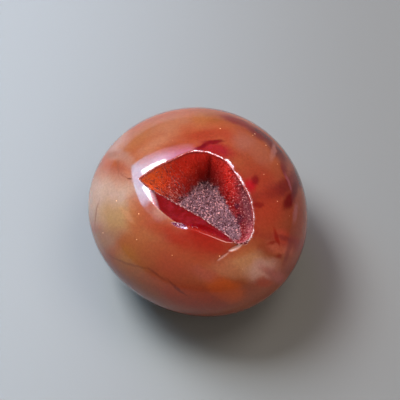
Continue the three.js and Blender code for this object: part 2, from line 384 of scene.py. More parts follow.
def outer_rings():
    """Rings over the polished surface, from the layer's outer edge to the underside."""
    steps = list(FIRST_STEPS) + [RIM_STEP] * RIM_STEPS
    while sum(steps) < OUTER_LENGTH:
        steps.append(min(steps[-1] * STEP_GROWTH, LARGEST_STEP))
    shares = np.concatenate([[0], np.cumsum(steps)]) / sum(steps)
    start = unit(layer_edge(np.ones(COLUMNS)) - CENTRE)
    pole = unit(surface_point(*np.array(POCKET_POLE)) - CENTRE)
    east = unit(np.cross(pole, [0.0, 1.0, 0.0]))
    north = np.cross(pole, east)
    first = np.arccos(start @ pole)
    heading = np.unwrap(np.arctan2(start @ north, start @ east))
    whole_turn = math.copysign(2 * math.pi, heading[-1] - heading[0])
    even = np.linspace(0, whole_turn, COLUMNS, endpoint=False)
    smooth_first = loop_smooth(first, EVEN_COLUMNS)
    smooth_heading = loop_smooth(heading - even, EVEN_COLUMNS) + even
    rings = []
    for share in shares[:-1]:
        turn = first + (math.pi - first) * share
        ease = smoothstep(0, EVEN_REACH, (turn - first) * HALF_HEIGHT)
        begin = first + (smooth_first - first) * ease
        turn = begin + (math.pi - begin) * share
        angle = heading + (smooth_heading - heading) * ease
        sideways = east * np.cos(angle)[:, None] + north * np.sin(angle)[:, None]
        direction = pole * np.cos(turn)[:, None] + sideways * np.sin(turn)[:, None]
        radius = worn_radius(direction)
        gone = (turn - first) * radius
        inward = np.clip(RIM_ROUND - gone, 0, RIM_ROUND)
        radius = radius - RIM_ROUND + np.sqrt(RIM_ROUND**2 - inward**2)
        ring = CENTRE + direction * radius[:, None]
        ring[:, 2] = ground_height(ring[:, 2])
        rings.append(ring)
    end = CENTRE - pole * pebble_radius(-pole)
    end[2] = ground_height(end[2])
    return rings, end


def ring_mesh(rings, start, end):
    """A mesh of rings joined in order, closed by a point at each end."""
    points = np.concatenate([*rings, [start], [end]])
    count = len(rings[0])
    faces = []
    for k in range(len(rings) - 1):
        here, there = k * count, (k + 1) * count
        for i in range(count):
            j = (i + 1) % count
            faces.append((here + i, here + j, there + j, there + i))
    last = (len(rings) - 1) * count
    start_point = len(rings) * count
    faces += [(start_point, (i + 1) % count, i) for i in range(count)]
    faces += [(start_point + 1, last + i, last + (i + 1) % count) for i in range(count)]
    return points, faces


def make_object(name, points, faces, smooth):
    """An object in metres from points in mm."""
    mesh = bpy.data.meshes.new(name)
    mesh.from_pydata((points * MM).tolist(), [], faces)
    mesh.polygons.foreach_set("use_smooth", [smooth] * len(faces))
    mesh.update()
    obj = bpy.data.objects.new(name, mesh)
    bpy.context.collection.objects.link(obj)
    return obj


def add_attribute(obj, name, values):
    """A named value at each point, which the materials read."""
    attribute = obj.data.attributes.new(name, "FLOAT", "POINT")
    attribute.data.foreach_set("value", np.asarray(values, dtype=np.float32))


WALL_RINGS = 12
FLOOR_RINGS = 5
LAST_RING = 0.999  # share of the way down the wall at which its lowest ring lies
FLOOR_THICKNESS = 0.4
PLAN_PARTS = 8  # the rim is gone through in parts, which saves memory


def plan_distance(points, line):
    """How far points of the plan lie from the nearest point of a line."""
    nearest = np.full(len(points), np.inf)
    for part in range(PLAN_PARTS):
        gaps = np.linalg.norm(points[:, None] - line[None, part::PLAN_PARTS], axis=-1)
        nearest = np.minimum(nearest, gaps.min(axis=1))
    return nearest


def add_smooth_scar(stone, points, on_top):
    """Marks the smooth scar, the ridge along its border and the red halo where that is worn."""
    direction = unit(points - CENTRE)
    cut = pebble_radius(direction) - scar_reach(SMOOTH_SCAR, direction)
    inside, across = past_border(direction)
    worn = smoothstep(*BORDER_WORN, across)
    share = smoothstep(-COLOR_EARLIER * worn, BORDER_END, inside)
    add_attribute(stone, "smooth_scar", smoothstep(*SCAR_SHOWS, cut) * share * on_top)
    halo = smoothstep(-HALO_REACH, HALO_FULL, inside)
    halo = halo * (1 - smoothstep(HALO_REACH, 2 * HALO_REACH, inside))
    halo = halo * worn * on_top * (1 - smoothstep(*HALO_RIGHT, across))
    add_attribute(stone, "scar_halo", halo)
    ridge = np.exp(-((inside / RIDGE_WIDTH) ** 2))
    add_attribute(stone, "scar_ridge", ridge * (cut > 0) * on_top)


def add_small_scars(stone, points, on_top):
    """Marks the narrow scar and the small bite in the border."""
    direction = unit(points - CENTRE)
    radius = pebble_radius(direction)
    narrow = np.minimum(scar_reach(NARROW_SCAR, direction), scar_reach(NARROW_TAIL, direction))
    add_attribute(stone, "narrow_scar", smoothstep(*NARROW_SHOWS, radius - narrow) * on_top)
    chip_cut = radius - scar_reach(CHIP, direction)
    add_attribute(stone, "chip", smoothstep(*CHIP_SHOWS, chip_cut) * on_top)


def build_stone():
    """The polished stone: its outer surface, the pocket's skin behind the crystals, and its marks."""
    rings, end = outer_rings()
    below = FLOOR_THICKNESS + SKIN_GAP
    inner = []
    for k in range(1, WALL_RINGS + 1):
        inner.append(wall(1 - k / WALL_RINGS * LAST_RING, LAYER + SKIN_GAP))
    for k in range(1, FLOOR_RINGS):
        inner.append(floor_ring(k / FLOOR_RINGS, below))
    middle = FLOOR_MIDDLE - np.array([0, 0, below])
    points, faces = ring_mesh(inner[::-1] + rings, middle, end)
    stone = make_object("carnelian_stone", points, faces, True)
    surface = worn_radius(unit(points - CENTRE))
    on_top = np.linalg.norm(points - CENTRE, axis=1) > surface - 2 * RIM_ROUND
    add_smooth_scar(stone, points, on_top)
    add_small_scars(stone, points, on_top)
    add_attribute(stone, "from_rim", plan_distance(points[:, :2], RIM[:, :2]))
    return stone


# Crystals: how far apart they stand in mm and how deep below the polish they are cut. Ranges of
# their places are shares of that spacing, and ranges of their shapes are shares of their size.
CRYSTAL_SEED = 11
CRYSTAL_SPACING = 0.29
CRYSTAL_BELOW = 0.02
CRYSTAL_STRAY_ALONG = 0.4
CRYSTAL_STRAY = 0.35
CRYSTAL_LEAN = (0.2, 0.75)
CRYSTAL_SIZE = (0.5, 0.85)
CRYSTAL_HEIGHT = (0.8, 1.5)
CRYSTAL_SHOULDER = (-0.1, 0.35)
CORNER_REACH = (0.85, 1.1)
TIP_STRAY = 0.25
LOW_WALL = 0.1  # below this level the crystals are larger
LOW_SIZE = 1.15
HIGH_SIZE = 0.9
LEVEL_STEP = 0.02
NEARLY_UPRIGHT = 0.9
POINT_SIDES = 6
POINT_CORNERS = POINT_SIDES + 2


def crystal_rows():
    """Levels of the rows of crystals: 1 at the rim, 0 at the floor's edge and -1 in its middle."""
    wall_height = np.linalg.norm(RIM - FLOOR, axis=1).mean()
    floor_reach = np.linalg.norm(FLOOR - FLOOR_MIDDLE, axis=1).mean()
    wall_rows = int(wall_height / CRYSTAL_SPACING)
    floor_rows = int(floor_reach / CRYSTAL_SPACING)
    rows = [k / wall_rows for k in range(wall_rows + 1)]
    return rows + [-(k + 0.5) / floor_rows for k in range(floor_rows)]


def bed_row(level):
    """One ring of the bed that crystals stand on, and the direction out of it at each point."""
    if level >= 0:
        ring = wall(level)
        rise = wall(min(level + LEVEL_STEP, 1)) - wall(max(level - LEVEL_STEP, 0))
    else:
        ring = floor_ring(-level)
        rise = FLOOR - FLOOR_MIDDLE
    run = np.roll(ring, -1, axis=0) - np.roll(ring, 1, axis=0)
    inwards = unit(np.cross(rise, run))
    facing = (inwards * np.array([0, 0, 1.0]) - SIDE3 * inwards).sum(-1)
    return ring, inwards * np.where(facing > 0, 1, -1)[:, None]


def crystal_bed(rng):
    """Places, outward axes, sizes and levels of the fine crystals over walls and floor."""
    places, axes, sizes, levels = [], [], [], []
    for level in crystal_rows():
        ring, inwards = bed_row(level)
        length = np.linalg.norm(np.roll(ring, -1, axis=0) - ring, axis=1)
        place = np.concatenate([[0], np.cumsum(length)])
        count = max(3, int(place[-1] / CRYSTAL_SPACING))
        stray = rng.uniform(-CRYSTAL_STRAY_ALONG, CRYSTAL_STRAY_ALONG, count)
        at = (np.arange(count) + stray) / count * place[-1] % place[-1]
        closed = [np.concatenate([v, v[:1]]) for v in (ring, inwards)]
        spot, normal = (np.stack([np.interp(at, place, v[:, i]) for i in range(3)], -1) for v in closed)
        spot += rng.uniform(-CRYSTAL_STRAY, CRYSTAL_STRAY, (count, 3)) * CRYSTAL_SPACING
        places.append(spot)
        lean = unit(rng.normal(size=(count, 3)))
        axes.append(unit(unit(normal) + lean * rng.uniform(*CRYSTAL_LEAN, (count, 1))))
        size = CRYSTAL_SPACING * rng.uniform(*CRYSTAL_SIZE, count)
        size *= np.where(level < LOW_WALL, LOW_SIZE, HIGH_SIZE)
        sizes.append(size)
        levels.append(np.full(count, level))
    return [np.concatenate(rows) for rows in (places, axes, sizes, levels)]


def crystal_shapes(rng, places, axes, sizes):
    """Six-sided points, each closed, as one set of vertices and faces."""
    count = len(places)
    upright = np.abs(axes[:, 2:]) > NEARLY_UPRIGHT
    helper = np.where(upright, [[1.0, 0, 0]], [[0, 0, 1.0]])
    first = unit(np.cross(axes, helper))
    second = np.cross(axes, first)
    turn = rng.uniform(0, math.pi, count)
    height = sizes * rng.uniform(*CRYSTAL_HEIGHT, count)
    shoulder = sizes * rng.uniform(*CRYSTAL_SHOULDER, count)
    corners = []
    for k in range(POINT_SIDES):
        angle = turn + k * math.pi / 3
        reach = sizes * rng.uniform(*CORNER_REACH, count)
        corner = places + first * (np.cos(angle) * reach)[:, None]
        corner = corner + second * (np.sin(angle) * reach)[:, None] + axes * shoulder[:, None]
        corners.append(corner)
    tip = places + axes * (shoulder + height)[:, None]
    tip += first * (sizes * rng.uniform(-TIP_STRAY, TIP_STRAY, count))[:, None]
    root = places - axes * sizes[:, None]
    points = np.stack(corners + [tip, root], axis=1).reshape(-1, 3)
    faces = []
    for n in range(count):
        base = n * POINT_CORNERS
        for k in range(POINT_SIDES):
            j = (k + 1) % POINT_SIDES
            faces.append((base + k, base + j, base + POINT_SIDES))
            faces.append((base + j, base + k, base + POINT_SIDES + 1))
    return points, faces


def under_polish(points):
    """Points above the polished surface brought down to it, as the polish has cut them."""
    out = points - CENTRE
    length = np.linalg.norm(out, axis=1)
    direction = out / length[:, None]
    allowed = worn_radius(direction) - CRYSTAL_BELOW
    return CENTRE + direction * np.minimum(length, allowed)[:, None]


# The layer that the crystals stand on, in mm
LINING_WALL_RINGS = 26
LINING_FLOOR_RINGS = 16
BACK_WALL_RINGS = 8
BACK_FLOOR_RINGS = 4
BAND_SHARES = (1, 0.85, 0.55, 0.25, 0)  # across the band, from its outer edge to its inner
BAND_BELOW = 0.03
BAND_EDGE_BELOW = 0.05  # and so much more at its outer edge
BAND_SUNK = 0.02
BED_BELOW = 0.05
BAND_ROUGH = 0.03
WALL_ROUGH = 0.04
FLOOR_ROUGH = 0.06
BAND_ROWS = 4  # rows of roughness that are kept for the band, and some to spare
SPARE_ROWS = 8


def lining_rings(rough):
    """Rings of the layer from its hidden back over the band and the wall to the floor's middle."""
    band = []
    for share in BAND_SHARES:
        below = BAND_BELOW + BAND_EDGE_BELOW * (share == 1)
        band.append(layer_edge(np.full(COLUMNS, share), below))
    for k, ring in enumerate(band[1:-1]):
        ring[:, 2] += rough[k] * BAND_ROUGH - BAND_SUNK
    front = []
    for k in range(1, LINING_WALL_RINGS + 1):
        level = 1 - k / LINING_WALL_RINGS
        front.append(wall(level, BED_BELOW + rough[k + BAND_ROWS] * WALL_ROUGH))
    for k in range(1, LINING_FLOOR_RINGS):
        ring = floor_ring(k / LINING_FLOOR_RINGS, BED_BELOW)
        ring[:, 2] += rough[k + BAND_ROWS + LINING_WALL_RINGS] * FLOOR_ROUGH
        front.append(ring)
    back = [wall(1 - k / BACK_WALL_RINGS * LAST_RING, LAYER) for k in range(1, BACK_WALL_RINGS + 1)]
    back += [floor_ring(k / BACK_FLOOR_RINGS, FLOOR_THICKNESS) for k in range(1, BACK_FLOOR_RINGS)]
    return back[::-1], band, front


def build_lining():
    """The crystal crust: its layer with the band in the polish, and the crystals on it."""
    rng = np.random.default_rng(CRYSTAL_SEED)
    rows = LINING_WALL_RINGS + LINING_FLOOR_RINGS + SPARE_ROWS
    rough = rng.uniform(-1, 1, (rows, COLUMNS))
    back, band, front = lining_rings(rough)
    under = FLOOR_MIDDLE - np.array([0, 0, FLOOR_THICKNESS])
    middle = FLOOR_MIDDLE - np.array([0, 0, BED_BELOW])
    points, faces = ring_mesh(back + band + front, under, middle)
    faces = [face[::-1] for face in faces]
    tone = rng.uniform(0, 1, len(points))
    on_band = np.zeros(len(points))
    level = np.zeros(len(points))
    band_start = len(back) * COLUMNS
    band_end = band_start + len(band) * COLUMNS
    on_band[band_start:band_end] = 1
    level[band_start:band_end] = 1
    for k in range(len(front)):
        here = slice(band_end + k * COLUMNS, band_end + (k + 1) * COLUMNS)
        level[here] = max(1 - (k + 1) / LINING_WALL_RINGS, -1)
    places, axes, sizes, levels = crystal_bed(rng)
    more, more_faces = crystal_shapes(rng, places, axes, sizes)
    more = under_polish(more)
    offset = len(points)
    points = np.concatenate([points, more])
    faces += [tuple(i + offset for i in face) for face in more_faces]
    lining = make_object("crystal_lining_fine", points, faces, False)
    more_tone = np.repeat(rng.uniform(0, 1, len(places)), POINT_CORNERS)
    add_attribute(lining, "tone", np.concatenate([tone, more_tone]))
    add_attribute(lining, "level", np.concatenate([level, np.repeat(levels, POINT_CORNERS)]))
    add_attribute(lining, "band", np.concatenate([on_band, np.zeros(len(more))]))
    return lining


# Where the photo's ovals lie on the stone
SIGHT_STEPS = 200


def seen_point(across, up):
    """The point of the pebble that the camera sees, from a place on the plane through its middle."""
    aim = FRAME_MIDDLE + RIGHT * across + UP * up
    ray = unit(aim - FRAME_MIDDLE - BACK * CAMERA_DISTANCE / MM)
    point = aim - ray * LONG_RADIUS
    for _ in range(SIGHT_STEPS):
        out = point - CENTRE
        point = point + ray * (np.linalg.norm(out) - pebble_radius(unit(out))) / 2
    return point


def level_axes(normal):
    """The level direction and the rising one in the surface's own plane."""
    side = unit(np.cross([0, 0, 1.0], normal))
    return side, np.cross(normal, side)


def seen_oval(middle, size, turn):
    """An oval of the photo laid onto the pebble: its point, normal, first axis and half lengths."""
    pixel = FRAME_WIDTH / MM / FRAME_PIXELS
    half = FRAME_PIXELS / 2
    point = seen_point((middle[0] - half) * pixel, (half - middle[1]) * pixel)
    normal = surface_normal(point)
    side, rise = level_axes(normal)
    ends = []
    for length, degrees in zip(size, (turn, turn + 90)):
        angle = math.radians(degrees)
        end = (RIGHT * math.cos(angle) + UP * math.sin(angle)) * length * pixel
        end = end - BACK * (end @ normal) / (BACK @ normal)
        ends.append([end @ side, end @ rise])
    turned, lengths, _ = np.linalg.svd(np.array(ends).T)
    return point, normal, side * turned[0, 0] + rise * turned[1, 0], lengths


def hidden_oval(where, size, turn):
    """The same for an oval that the photo doesn't show, from its direction out of the centre."""
    azimuth, height = (math.radians(value) for value in where)
    out = np.array([
        math.cos(azimuth) * math.cos(height),
        math.sin(azimuth) * math.cos(height),
        math.sin(height),
    ])
    point = CENTRE + out * pebble_radius(out)
    normal = surface_normal(point)
    side, rise = level_axes(normal)
    angle = math.radians(turn)
    return point, normal, side * math.cos(angle) + rise * math.sin(angle), size


# Materials

# How much darker a surface's own colour is than what the photo shows under the bright window
LIT = 0.5


def paint(red, green, blue, gain=LIT):
    """A display colour, 0 to 255, as the linear colour that a shader takes."""
    linear = []
    for value in (red, green, blue):
        share = value / 255
        share = share / 12.92 if share <= 0.04045 else ((share + 0.055) / 1.055) ** 2.4
        linear.append(share * gain)
    return (*linear, 1.0)


class Nodes:
    """A node tree, with short calls for the nodes that this scene needs."""

    def __init__(self, tree):
        self.tree = tree

    def node(self, kind, **settings):
        made = self.tree.nodes.new(kind)
        for key, value in settings.items():
            setattr(made, key, value)
        return made

    def feed(self, socket, value):
        """Joins a socket to another, or sets its own value."""
        if isinstance(value, bpy.types.NodeSocket):
            self.tree.links.new(value, socket)
        else:
            socket.default_value = value

    def math(self, operation, a, b=0.0):
        made = self.node("ShaderNodeMath", operation=operation)
        self.feed(made.inputs[0], a)
        self.feed(made.inputs[1], b)
        return made.outputs[0]

    def times(self, a, b):
        return self.math("MULTIPLY", a, b)

    def vector(self, operation, a, b=None, **more):
        made = self.node("ShaderNodeVectorMath", operation=operation)
        self.feed(made.inputs[0], a)
        if b is not None:
            self.feed(made.inputs[1], b)
        for key, value in more.items():
            self.feed(made.inputs[key], value)
        return made.outputs["Value" if operation == "LENGTH" else "Vector"]

    def linear(self, share, ends):
        """A share from 0 to 1 as a value between two ends."""
        return self.math("ADD", self.times(share, ends[1] - ends[0]), ends[0])

    def span(self, value, low, high, to_low=0.0, to_high=1.0):
        """A value between two limits, smoothly brought between two others."""
        made = self.node("ShaderNodeMapRange", interpolation_type="SMOOTHSTEP")
        self.feed(made.inputs["Value"], value)
        self.feed(made.inputs["From Min"], low)
        self.feed(made.inputs["From Max"], high)
        self.feed(made.inputs["To Min"], to_low)
        self.feed(made.inputs["To Max"], to_high)
        return made.outputs["Result"]

    def mix(self, share, a, b):
        """Colour a where the share is 0 and b where it is 1."""
        made = self.node("ShaderNodeMix", data_type="RGBA")
        self.feed(made.inputs["Factor"], share)
        self.feed(made.inputs[6], a)
        self.feed(made.inputs[7], b)
        return made.outputs[2]

    def parts(self, value):
        """The X and Y of a vector."""
        split = self.node("ShaderNodeSeparateXYZ")
        self.feed(split.inputs[0], value)
        return split.outputs["X"], split.outputs["Y"]


PATCH_DEPTH = 7.0  # a colour patch reaches at least so far into the stone, in mm


class Shader(Nodes):
    """A material's node tree, with the place on the part in mm."""

    def __init__(self, name):
        self.material = bpy.data.materials.new(name)
        self.material.use_nodes = True
        super().__init__(self.material.node_tree)
        self.surface = self.tree.nodes["Principled BSDF"]
        coordinate = self.node("ShaderNodeTexCoord").outputs["Object"]
        self.place = self.vector("SCALE", coordinate, Scale=1 / MM)

    def set(self, name, value):
        """Feeds one of the surface's own sockets."""
        self.feed(self.surface.inputs[name], value)

    def noise(self, scale, detail=3.0, roughness=0.5, place=None, color=False):
        made = self.node("ShaderNodeTexNoise")
        self.feed(made.inputs["Vector"], place or self.place)
        self.feed(made.inputs["Scale"], scale)
        self.feed(made.inputs["Detail"], detail)
        self.feed(made.inputs["Roughness"], roughness)
        return made.outputs["Color" if color else "Fac"]

    def attribute(self, name):
        return self.node("ShaderNodeAttribute", attribute_name=name).outputs["Fac"]

    def warp(self, scale, reach):
        """The place, pushed about by noise."""
        push = self.vector("SUBTRACT", self.noise(scale, 3.0, 0.55, color=True), (0.5, 0.5, 0.5))
        return self.vector("ADD", self.place, self.vector("SCALE", push, Scale=reach))

    def specks(self, scale, rare):
        """Tiny bright points, one in a cell of 1 / scale mm, in the share of cells above rare."""
        cell = self.node("ShaderNodeTexVoronoi")
        self.feed(cell.inputs["Vector"], self.place)
        self.feed(cell.inputs["Scale"], scale)
        point = self.span(cell.outputs["Distance"], 0.07, 0.02)
        chance = self.node("ShaderNodeSeparateColor")
        self.feed(chance.inputs[0], cell.outputs["Color"])
        return self.times(point, self.math("GREATER_THAN", chance.outputs[0], rare))

    def patch(self, place, oval, soft, strength):
        """The strength inside an oval on the pebble's surface, falling to 0 across its soft edge."""
        point, normal, first, size = oval
        axes = Matrix(np.array([first, np.cross(normal, first), normal]).T.tolist())
        mapping = self.node("ShaderNodeMapping", vector_type="TEXTURE")
        self.feed(mapping.inputs["Vector"], place)
        mapping.inputs["Location"].default_value = point
        mapping.inputs["Rotation"].default_value = axes.to_euler()
        reach = 1 + soft
        depth = max(size[0], PATCH_DEPTH)
        mapping.inputs["Scale"].default_value = (size[0] * reach, size[1] * reach, depth * reach)
        inwards = self.node("ShaderNodeTexGradient", gradient_type="SPHERICAL")
        self.feed(inwards.inputs["Vector"], mapping.outputs["Vector"])
        return self.span(inwards.outputs["Fac"], 0.0, 2 * soft / reach, 0.0, strength)


STONE_BASE = paint(178, 88, 50)
# Colour patches, placed over the photo: middle and half lengths in the photo's pixels,
# turn from level, softness, strength and colour.
CLOUDS = [
    ((106, 200), (52, 24), 170, 0.6, 0.95, (198, 158, 134)),  # milky left flank
    ((104, 239), (19, 11), 25, 0.6, 0.8, (172, 122, 92)),
    ((121, 218), (27, 13), 168, 0.6, 0.8, (188, 138, 84)),  # yellowish within the milk
    ((143, 236), (34, 11), 28, 0.6, 0.8, (178, 96, 50)),
    ((147, 208), (17, 12), 105, 0.7, 0.9, (180, 82, 46)),  # orange beside the glow
    ((134, 210), (14, 9), 105, 0.7, 0.65, (184, 96, 54)),
    ((137, 224), (10, 8), 0, 0.7, 0.7, (180, 88, 46)),
    ((140, 137), (26, 9), 38, 0.7, 0.85, (168, 98, 56)),
    ((112, 150), (26, 6), 146, 0.7, 0.6, (172, 130, 114)),
    ((162, 141), (33, 5), 28, 0.8, 0.6, (184, 122, 88)),  # a beige arc behind the glow
    ((172, 124), (22, 9), 18, 0.7, 0.85, (176, 108, 74)),
    ((212, 116), (14, 6), 175, 0.8, 0.8, (160, 82, 34)),
    ((192, 131), (18, 6.5), 15, 0.8, 0.8, (172, 80, 42)),
    ((201, 118), (8, 5), 2, 0.8, 0.7, (178, 104, 54)),
    ((118, 140), (11, 5), 46, 0.8, 0.6, (182, 144, 128)),
    ((205, 134), (22, 5.5), 5, 0.7, 0.85, (164, 54, 32)),  # halo behind the pocket
    ((228, 136), (9.5, 5.5), 140, 0.7, 0.7, (172, 62, 38)),
    ((238, 121), (16, 4), 158, 0.5, 0.9, (128, 18, 10)),  # red on the far right shoulder
    ((257, 133), (11, 4), 142, 0.5, 0.85, (122, 22, 14)),
    ((246, 141), (12, 8), 148, 0.7, 0.85, (170, 96, 74)),
    ((262, 154), (12, 8), 120, 0.5, 0.8, (172, 90, 62)),
    ((277, 150), (16, 4), 128, 0.6, 0.85, (105, 12, 14)),  # dark red along the far edge
    ((262, 134), (14, 3), 138, 0.6, 0.85, (108, 14, 14)),
    ((262, 190), (33, 22), 170, 0.7, 0.85, (166, 56, 34)),  # the red right side
    ((295.5, 180), (36, 7.5), 28, 0.6, 0.85, (122, 26, 26)),
    ((268, 215), (22, 16), 90, 0.8, 0.8, (178, 56, 32)),
    ((282, 248), (12, 7), 160, 0.5, 0.85, (212, 102, 72)),
    ((300, 245), (21, 6), 160, 0.6, 0.7, (160, 48, 36)),
    ((247, 264), (22, 12.5), 176, 0.6, 0.95, (208, 140, 94)),  # milk below the wide end
    ((263, 270), (15, 9.5), 10, 0.6, 0.95, (228, 168, 150)),
    ((226, 271), (16, 7), 160, 0.7, 0.85, (204, 126, 86)),
    ((264, 283), (8, 5.5), 150, 0.4, 0.8, (190, 72, 36)),
    ((277, 277), (14, 6), 145, 0.6, 0.8, (190, 96, 82)),
    ((226, 290), (20, 9), 156, 0.45, 0.95, (220, 98, 32)),  # an orange cloud near the bottom
    ((244, 250), (14, 5.5), 30, 0.7, 0.75, (195, 106, 56)),
    ((185, 298), (40, 13), 175, 0.7, 0.8, (194, 72, 32)),
    ((204, 274), (14, 5.5), 160, 0.7, 0.7, (192, 96, 78)),
    ((130, 266), (16, 14), 0, 0.7, 0.8, (176, 98, 50)),
    ((145, 290), (26, 7.5), 145, 0.7, 0.7, (180, 96, 48)),
    ((126, 256), (10, 8), 0, 0.8, 0.7, (180, 108, 46)),
    ((185, 240), (34, 9.5), 152, 0.7, 0.9, (172, 44, 26)),  # red halo below the pocket
    ((205, 238), (22, 8), 150, 0.7, 0.95, (164, 20, 14)),
    ((215, 246), (20, 6), 158, 0.7, 0.6, (180, 50, 28)),
    ((195.5, 262), (26, 11), 166, 0.8, 0.5, (184, 80, 44)),
    ((172, 269), (14, 12), 0, 0.8, 0.7, (176, 70, 44)),
]
# The same on the underside and the far side: direction from the pebble's centre (azimuth, height)
# and half lengths in mm
HIDDEN_CLOUDS = [
    ((-20, -25), (14, 8), 20, 0.7, 0.8, (190, 110, 70)),
    ((100, -20), (16, 8), 160, 0.7, 0.8, (186, 120, 84)),
    ((-120, -35), (12, 9), 80, 0.7, 0.7, (150, 50, 34)),
    ((50, -40), (9, 6), 30, 0.6, 0.7, (160, 60, 40)),
    ((170, -30), (12, 7), 100, 0.7, 0.7, (196, 140, 104)),
]
VEINS = [
    ((216, 149.5), (17.5, 7.5), 165, 0.6, 0.9, (160, 20, 34)),  # magenta behind the pocket
    ((201, 148.5), (6, 3), 17, 0.6, 0.8, (130, 14, 34)),
    ((202, 146.5), (7, 2), 25, 0.5, 0.95, (118, 4, 20)),  # and the dark vein in it
    ((214, 141.5), (9.5, 2.2), 5, 0.5, 0.95, (124, 4, 18)),
    ((96, 214), (12, 0.8), 80, 0.5, 0.6, (140, 80, 58)),
    ((127, 215), (9, 2.5), 130, 0.6, 0.6, (206, 142, 100)),  # a pale streak
    ((129.5, 179), (2.2, 1), 0, 0.4, 0.8, (105, 48, 32)),
    ((118, 167.5), (9, 1), 95, 0.5, 0.5, (150, 84, 58)),
    ((124, 176), (6, 0.9), 145, 0.5, 0.5, (150, 84, 58)),
    ((127.5, 263.5), (22, 1.1), 164, 0.5, 0.5, (125, 60, 36)),  # a faint dark vein low on the left
    ((157, 274.5), (10, 1.1), 145, 0.5, 0.65, (130, 52, 34)),
    ((176.5, 288), (12, 1.2), 140, 0.5, 0.7, (126, 46, 30)),
    ((112, 154.5), (7, 3), 20, 0.5, 0.7, (160, 90, 56)),
    ((273.5, 151.5), (9, 2.4), 76, 0.5, 0.7, (184, 112, 96)),  # light and mauve streaks on the right
    ((287.5, 179.5), (12, 1.3), 112, 0.5, 0.7, (170, 78, 86)),
    ((295.5, 213), (9, 2.2), 81, 0.6, 0.7, (184, 104, 98)),
    ((284, 168), (7, 3), 110, 0.6, 0.75, (122, 20, 24)),
    ((289.5, 200.5), (9, 5), 60, 0.5, 0.95, (118, 2, 6)),  # dark red blotches
    ((294.5, 189.5), (8, 3.5), 80, 0.5, 0.9, (106, 8, 14)),
    ((250, 185.5), (6.8, 6.3), 55, 0.6, 0.9, (190, 12, 30)),
    ((255.5, 180), (4.5, 3.5), 73, 0.6, 0.85, (124, 8, 18)),
    ((258, 205), (6, 2.8), 0, 0.5, 0.8, (136, 20, 16)),
    ((283, 237.5), (8.3, 6.6), 142, 0.6, 0.9, (200, 74, 50)),
    ((277, 237), (8.4, 1.8), 106, 0.6, 0.8, (168, 26, 10)),  # a red crescent
    ((272.5, 243), (4.7, 1.8), 17, 0.7, 0.7, (150, 28, 14)),
    ((279, 256), (3, 2.2), 160, 0.7, 0.7, (158, 30, 20)),
    ((286, 238.5), (9.5, 2.2), 160, 0.7, 0.6, (140, 44, 40)),
    ((288.5, 251), (13, 2), 75, 0.7, 0.6, (140, 40, 32)),
]
REFRACTION = 1.54  # of quartz, and so of carnelian


def stone_material():
    """Carnelian: clouds and veins, the scars' colours and the polish."""
    shader = Shader("polished_carnelian")
    wide = shader.warp(0.16, 4.0)
    close = shader.warp(0.4, 1.2)
    cloud = shader.noise(0.07, 4.0, 0.55)
    color = shader.mix(shader.span(cloud, 0.35, 0.7), STONE_BASE, paint(160, 66, 38))
    pale = shader.span(shader.noise(0.05, 3.0, 0.6, place=wide), 0.55, 0.75, 0.0, 0.35)
    color = shader.mix(pale, color, paint(190, 130, 90))
    groups = ((wide, seen_oval, CLOUDS), (wide, hidden_oval, HIDDEN_CLOUDS), (close, seen_oval, VEINS))
    for place, laid, rows in groups:
        for middle, size, turn, soft, strength, tint in rows:
            share = shader.patch(place, laid(middle, size, turn), soft, strength)
            color = shader.mix(share, color, paint(*tint))
    color = scar_colors(shader, color)
    color = shader.mix(shader.specks(0.33, 0.66), color, paint(255, 190, 140, 0.9))
    mottle = shader.span(shader.noise(1.6, 6.0, 0.75), 0.3, 0.7, 0.86, 1.12)
    shader.set("Base Color", shader.vector("SCALE", color, Scale=mottle))
    shader.set("Roughness", shader.span(shader.noise(0.4, 3.0), 0.3, 0.7, 0.05, 0.09))
    shader.set("IOR", REFRACTION)
    shader.set("Subsurface Weight", 0.6)
    shader.set("Subsurface Radius", (1.0, 0.35, 0.15))
    shader.set("Subsurface Scale", 0.008)
    return shader.material


def scar_colors(shader, color):
    """The red round the pocket's rim, the streaked smooth scar, a painted highlight on its ridge and the
    two small scars.
    """
    rim = shader.span(shader.attribute("from_rim"), 0.0, 2.6, 0.4, 0.0)
    color = shader.mix(rim, color, paint(168, 26, 22))
    streaks = shader.span(shader.noise(0.45, 4.0, 0.65), 0.42, 0.68)
    halo = shader.times(shader.attribute("scar_halo"), 0.7)
    color = shader.mix(halo, color, paint(166, 26, 18))
    scooped = shader.mix(streaks, paint(134, 8, 14), paint(156, 26, 36))
    color = shader.mix(shader.attribute("smooth_scar"), color, scooped)
    narrow = shader.times(shader.attribute("narrow_scar"), 0.85)
    color = shader.mix(narrow, color, paint(238, 170, 152))
    # Painted highlight: a pale line on the scar's ridge at the left, with bright flecks along the rest
    painted_ridge_highlight = shader.span(shader.parts(shader.place)[0], -4.0, -8.0)
    painted_ridge_flecks = shader.span(shader.noise(2.2, 2.0), 0.66, 0.72)
    ridge = shader.attribute("scar_ridge")
    ridge = shader.times(ridge, shader.math("MAXIMUM", painted_ridge_highlight, painted_ridge_flecks))
    color = shader.mix(shader.times(ridge, 0.9), color, paint(240, 180, 190))
    broken = shader.span(shader.noise(3.0, 2.0), 0.48, 0.62)
    grit = shader.mix(broken, paint(120, 30, 66), paint(235, 190, 200))
    return shader.mix(shader.attribute("chip"), color, grit)


# The crystals' colours from the pocket's left end to its right wall: where each takes over, in x
# The left end's orange is partly its own colour and partly painted light, the glow through the thin stone
# there
LEFT_END_COLOR = paint(224, 92, 38, 0.85)
ACROSS_COLORS = [
    ((-14, -5), paint(208, 48, 30, 0.85)),
    ((-2, 3), paint(204, 38, 30, 0.84)),
    ((8, 12), paint(146, 60, 66, 0.6)),
]
# Painted shade in the hollows low in the right wall: point and reach in mm
PAINTED_HOLLOW_SHADE = [
    ((10.2, -5.9, 31.5), 1.3),
    ((10.3, -9.6, 31.2), 1.9),
]
STRAIGHT_EDGE_SLOPE = 0.59  # how far the long straight edge falls in y per mm of x


